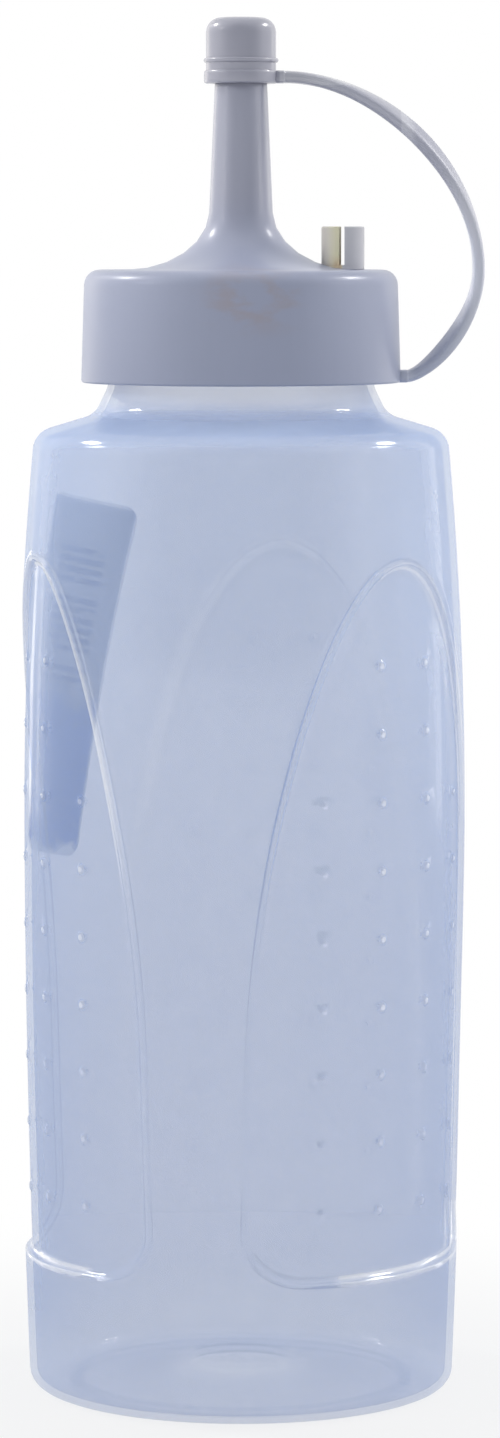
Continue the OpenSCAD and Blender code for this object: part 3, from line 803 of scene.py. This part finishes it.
def sink_at(angle, z):
    """How deep the wall lies under the plain barrel at a place, on a panel or on its step."""
    near = (angle - PANEL_TURN + HALF_THIRD) % (2 * HALF_THIRD) - HALF_THIRD
    inside = panel_half(z) - side_r(z) * math.sin(math.radians(abs(near)))
    slope = (panel_half(z + SLOPE_H) - panel_half(z - SLOPE_H)) / (2 * SLOPE_H)
    share = min(1, max(0, inside / math.hypot(1, slope) / STEP_W))
    return RECESS * share * share * (3 - 2 * share)


tilt = Matrix.Rotation(math.radians(LABEL_TILT), 3, "Z")
for v in label.verts:
    w, z = (tilt @ v.co).to_2d() + Vector((0, LABEL_Z))
    angle = LABEL_TURN + math.degrees(math.asin(w / side_r(z)))
    v.co = on_wall(angle, z, sink_at(angle, z) - GLUE)
bmesh.ops.recalc_face_normals(label, faces=label.faces)
if sum((f.normal.dot(f.calc_center_median() * Vector((1, 1, 0))) for f in label.faces)) < 0:
    bmesh.ops.reverse_faces(label, faces=label.faces)
bmesh.ops.solidify(label, geom=label.faces, thickness=-SHEET * MM)
bmesh.ops.recalc_face_normals(label, faces=label.faces)
print("Sticker faces on the wall:", len(label.faces))

# %% [markdown]
# The print on the sticker is generic: a pale field with plain bars where a text would be, over a blue
# field. It reads the flat map, so it follows the sticker's tilt. It has faded in soft patches, is worn
# off at the lower end, and pales towards the edges, where the film has gone milky.

# %% Sticker print
BAR_ROWS, BAR_BLOCKS = 36, 5.2  # along the whole sticker
sticker, here = start_finish("sticker_print")
flat = here.node("UVMap", {"uv_map": "flat"})
u, v, _ = flat.axes()
fade = here.noise(140, 3)
rows = (v * BAR_ROWS).fract().between(0.3, 0.5)
gaps = (v * BAR_BLOCKS + 0.2).fract().between(0.12, 0.2)
words = flat.stretched((5, BAR_ROWS, 1)).noise(1, 1).between(0.32, 0.4)
across = u.between(0.2, 0.24) * (1 - u.between(0.76, 0.8))
column = across * v.between(0.46, 0.48) * (1 - v.between(0.86, 0.88))
bars = rows * gaps * words * column
blue_field = 1 - (v + 0.25 * (fade - 0.5)).between(0.38, 0.5)
ink = blue_field.tint(bars.tint((0.40, 0.46, 0.56, 1), (0.0, 0.04, 0.30, 1)), (0.0, 0.27, 1.0, 1))
worn = (fade.between(0.5, 0.75) * (0.12 - 0.08 * blue_field)).tint(ink, (0.46, 0.50, 0.62, 1))
edge = u.between(0, 0.05) * (1 - u.between(0.95, 1)) * (1 - v.between(0.98, 1))
kept = edge * (v + 0.2 * (fade - 0.5)).between(0.02, 0.05)
close_finish(sticker, here, {"Base Color": kept.tint((0.62, 0.68, 0.78, 1), worn),
                             "Alpha": (0.6 + 0.4 * bars + 0.4 * blue_field) * (0.3 + 0.7 * kept),
                             "Specular IOR Level": 0.15, "Roughness": 0.55 + 0.2 * fade,
                             "Normal": fade.bump(0.1, 0.0004)})

label_sheet = finish_piece(label, "back_label", sticker)
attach(label_sheet, "bottle")
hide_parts("label")

# %% [markdown]
# ## Seal
# A foam washer lies between the rim of the neck and the cap. It is a small rounded section, spun.

# %% Seal
SEAL_IN, SEAL_OUT, SEAL_LOW, SEAL_HIGH, SEAL_ROUND = 20.4, 23.2, 187.92, 189.08, 0.25


def weld(bm):
    """Joins points that lie on each other and makes the normals point outwards."""
    bmesh.ops.remove_doubles(bm, verts=bm.verts, dist=SAME_PLACE)
    bmesh.ops.recalc_face_normals(bm, faces=bm.faces)


seal = bmesh.new()
seal_line = [(SEAL_IN, SEAL_LOW, SEAL_ROUND), (SEAL_OUT, SEAL_LOW, SEAL_ROUND),
             (SEAL_OUT, SEAL_HIGH, SEAL_ROUND), (SEAL_IN, SEAL_HIGH, SEAL_ROUND)]
spin_round(seal, half_section(seal, seal_line, closed=True), steps=96)
weld(seal)
seal_ring = finish_piece(seal, "seal_ring", seal_foam)
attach(seal_ring, "seal")
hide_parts("cap_seal")

# %% [markdown]
# ## Screw cap
# Skirt, deck and nozzle are one moulding, so they are one half section: up the skirt, round the edge of
# the deck, up the wide flare into the nozzle, and back down through the channel. A bevel gives the flare
# a round hollow, and a stretch outwards then lets it run out flat on the deck. The lug for the strap is
# a small block with rounded edges at the foot of the skirt.

# %% Cap and nozzle
SKIRT_IN, CAP_FOOT, ROOF_Z, DECK_Z, OUTLET_Z = 24.65, 172.6, 189.1, 191.7, 231.8
FLARE_IN, FLARE_OUT, FLARE_LOW, FLARE_STRETCH = 5.4, 16, 191.6, 1.396
CAP_THREAD_Z, CAP_THREAD_TURN = 175.67, -180
cap = bmesh.new()
cap_line = [(SKIRT_IN, CAP_FOOT, 0.3), (27.2, CAP_FOOT, 0.45), (26.6, DECK_Z, 2.5), (5.84, DECK_Z, 9.6),
            (4.05, OUTLET_Z, 0.35), (3.15, OUTLET_Z, 0.2), (3.85, 201.4, 0), (7.5, ROOF_Z, 0.8),
            (SKIRT_IN, ROOF_Z, 0.5)]
section = half_section(cap, cap_line, closed=True)
flare = [v for v in section if isinstance(v, bmesh.types.BMVert)
         and FLARE_IN * MM < v.co.x < FLARE_OUT * MM and v.co.z > FLARE_LOW * MM]
bmesh.ops.scale(cap, verts=flare, vec=(FLARE_STRETCH, 1, 1),
                space=Matrix.Translation((-FLARE_IN * MM, 0, 0)))
spin_round(cap, section, steps=128)
weld(cap)
add_shape(cap, thread(SKIRT_IN, -1, CAP_THREAD_Z, CAP_THREAD_TURN))
print("Cap faces with its thread:", len(cap.faces))

# %% Lug for the strap
LUG_HALF, LUG_ROUND = 2.3, 0.5


def add_lug(bm, low_x, high_x, low_z, high_z):
    low, high = (low_x, -LUG_HALF, low_z), (high_x, LUG_HALF, high_z)
    size, middle = Vector(high) - Vector(low), (Vector(high) + Vector(low)) / 2
    block = bmesh.ops.create_cube(bm, size=1)["verts"]
    bmesh.ops.scale(bm, verts=block, vec=size * MM)
    bmesh.ops.translate(bm, verts=block, vec=middle * MM)
    bmesh.ops.bevel(bm, geom=list({e for v in block for e in v.link_edges}), offset=LUG_ROUND * MM,
                    segments=3, profile=0.5, affect="EDGES", material=-1)


add_lug(cap, low_x=25.7, high_x=28.6, low_z=CAP_FOOT, high_z=174.7)
nozzle_cap = finish_piece(cap, "nozzle_cap", cap_plastic)
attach(nozzle_cap, "cap")
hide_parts("screw_cap")

# %% [markdown]
# ## Parking post
# A short tube with two crossed slits, on which the tip cap can be parked. A tube is spun, two cuts leave
# one quarter of it, the cut edges are chamfered, and a spin with copies sets four quarters in a ring.

# %% Post
POST_X, POST_TURN = 17.3, -4  # mm and degrees
BORE_R, POST_R, POST_H, PLATE_H, SHANK_R, SHANK_H = 2.45, 3.65, 7.3, 0.8, 2.55, 1.4
HALF_SLIT, CHAMFER, NOTCH_Z, NOTCH_L = 0.45, 0.35, 7.2, 0.3
post = bmesh.new()
tube = [(BORE_R, 0.7, 0), (POST_R, 0.7, 0), (POST_R, POST_H, 0.3), (BORE_R, POST_H, 0.25)]
spin_round(post, half_section(post, tube, closed=True), steps=48)
for way in ((1, 0, 0), (0, 1, 0)):
    parts = post.verts[:] + post.edges[:] + post.faces[:]
    cut = bmesh.ops.bisect_plane(post, geom=parts, plane_co=Vector(way) * HALF_SLIT * MM, plane_no=way,
                                 clear_inner=True)["geom_cut"]
    bmesh.ops.edgenet_fill(post, edges=[g for g in cut if isinstance(g, bmesh.types.BMEdge)])
bmesh.ops.recalc_face_normals(post, faces=post.faces)
notch = [e for e in post.edges if abs(e.calc_face_angle(0)) > 1 and e.calc_length() > NOTCH_L * MM
         and min(v.co.z for v in e.verts) > NOTCH_Z * MM]
bmesh.ops.bevel(post, geom=notch, offset=CHAMFER * MM, segments=2, profile=0.5, affect="EDGES",
                material=-1)
bmesh.ops.spin(post, geom=post.verts[:] + post.edges[:] + post.faces[:], cent=(0, 0, 0), axis=(0, 0, 1),
               angle=math.radians(270), steps=3, use_duplicate=True)
shank = [(0, -SHANK_H, 0), (SHANK_R, -SHANK_H, 0.3), (SHANK_R, 0.01, 0), (POST_R, 0.01, 0.15),
         (POST_R, PLATE_H, 0.05), (0, PLATE_H, 0)]
spin_round(post, half_section(post, shank), steps=48)
weld(post)
turn_round(post, POST_TURN)
bmesh.ops.translate(post, verts=post.verts, vec=(POST_X * MM, 0, DECK_Z * MM))
split_post = finish_piece(post, "split_post", post_plastic)
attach(split_post, "cap")
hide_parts("parking_post")

# %% [markdown]
# ## Tip cap
# The small cap on the nozzle has a ring round its mouth, a bead above it, a round top, and a plug inside
# that stops the outlet. Again one half section, from the plug's middle to the top's middle.

# %% Tip cap
PLUG_R, PLUG_Z, SEAT_Z, MOUTH_Z, RING_Z, TOP_Z = 2.85, 229.6, 232.1, 223.1, 225.3, 234.2
TIP_R, RING_R, BEAD_R = 5.94, 6.29, 6.34
tip = bmesh.new()
tip_line = [(0, PLUG_Z, 0), (PLUG_R, PLUG_Z, 0.5), (PLUG_R, SEAT_Z, 0), (4.35, SEAT_Z, 0.3),
            (4.74, MOUTH_Z, 0.2), (RING_R, MOUTH_Z, 0.4), (RING_R, RING_Z, 0.5), (TIP_R, RING_Z, 0.15),
            (TIP_R, 226.6, 0.1), (BEAD_R, 226.65, 0.35), (BEAD_R, 227.35, 0.35), (TIP_R, 227.4, 0.1),
            (TIP_R, TOP_Z, 2.5), (0, TOP_Z, 0)]
spin_round(tip, half_section(tip, tip_line), steps=72)
weld(tip)
add_lug(tip, low_x=5.6, high_x=7.6, low_z=223.15, high_z=225.25)
tip_cap = finish_piece(tip, "nozzle_tip_cap", cap_plastic)
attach(tip_cap, "tip")
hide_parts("tip_cap")

# %% [markdown]
# ## Tether strap
# The strap is a flat oval section drawn along two smooth curves, from the tip cap out to its furthest
# reach and back to the skirt, with a slight twist in each. A circle is squeezed to the section,
# and each further ring is extruded and moved from one place on the curve to the next. The strap joins
# two pieces that move apart.

# %% Strap
STRAP_W, STRAP_T, STRAP_SIDES, STRAP_STEPS = 4.4, 2.1, 20, 64
TWIST, FOOT_TWIST = 24.0, -20.0  # degrees
SQUARENESS = 0.6  # 1 makes the section an ellipse, and 0 a rectangle
HEAD, REACH, STRAP_FOOT = Vector((7.29, 224.2)), Vector((40.37, 191.7)), Vector((28.2, 173.65))
UPPER_PULL, LOWER_PULL, FOOT_PULL = 16.555, 9.025, 3.05
UPPER = [HEAD, HEAD + Vector((UPPER_PULL, 0)), REACH + Vector((0, UPPER_PULL)), REACH]
LOWER = [REACH, REACH - Vector((0, LOWER_PULL)), STRAP_FOOT + Vector((FOOT_PULL, 0)), STRAP_FOOT]


def strap_place(t):
    """The matrix that puts the section at a place on the strap, from 0 at its head to 2 at its foot."""
    curve, s = (UPPER, t) if t <= 1 else (LOWER, t - 1)
    a, b, c, d = curve
    p = (1 - s) ** 3 * a + 3 * s * (1 - s) ** 2 * b + 3 * s * s * (1 - s) * c + s ** 3 * d
    way = ((1 - s) ** 2 * (b - a) + 2 * s * (1 - s) * (c - b) + s * s * (d - c)).normalized()
    turned = (TWIST if t < 1 else FOOT_TWIST) * math.sin(math.pi * t) ** 2
    twist = Matrix.Rotation(math.radians(turned), 4, "Z")
    turn = Matrix(((0, -way.y, way.x, p.x * MM), (1, 0, 0, 0), (0, way.x, way.y, p.y * MM),
                   (0, 0, 0, 1)))
    return turn @ twist


strap = bmesh.new()
ring = bmesh.ops.create_circle(strap, segments=STRAP_SIDES, radius=1)["verts"]
for v in ring:
    swell = [math.copysign(abs(c) ** SQUARENESS, c) for c in v.co.to_2d()]
    v.co = STRAP_W / 2 * MM * swell[0], STRAP_T / 2 * MM * swell[1], 0
bmesh.ops.transform(strap, matrix=strap_place(0), verts=ring)
edges = strap.edges[:]
bmesh.ops.contextual_create(strap, geom=edges)
for step in range(1, 2 * STRAP_STEPS + 1):
    move = strap_place(step / STRAP_STEPS) @ strap_place((step - 1) / STRAP_STEPS).inverted()
    edges = next_ring(strap, edges, lambda co: move @ co)
bmesh.ops.contextual_create(strap, geom=edges)
bmesh.ops.recalc_face_normals(strap, faces=strap.faces)
tether = finish_piece(strap, "tether", strap_plastic_painted_lighter)
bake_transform(tether)
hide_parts("tether_strap")

# %% Update the view layer
bpy.context.view_layer.update()
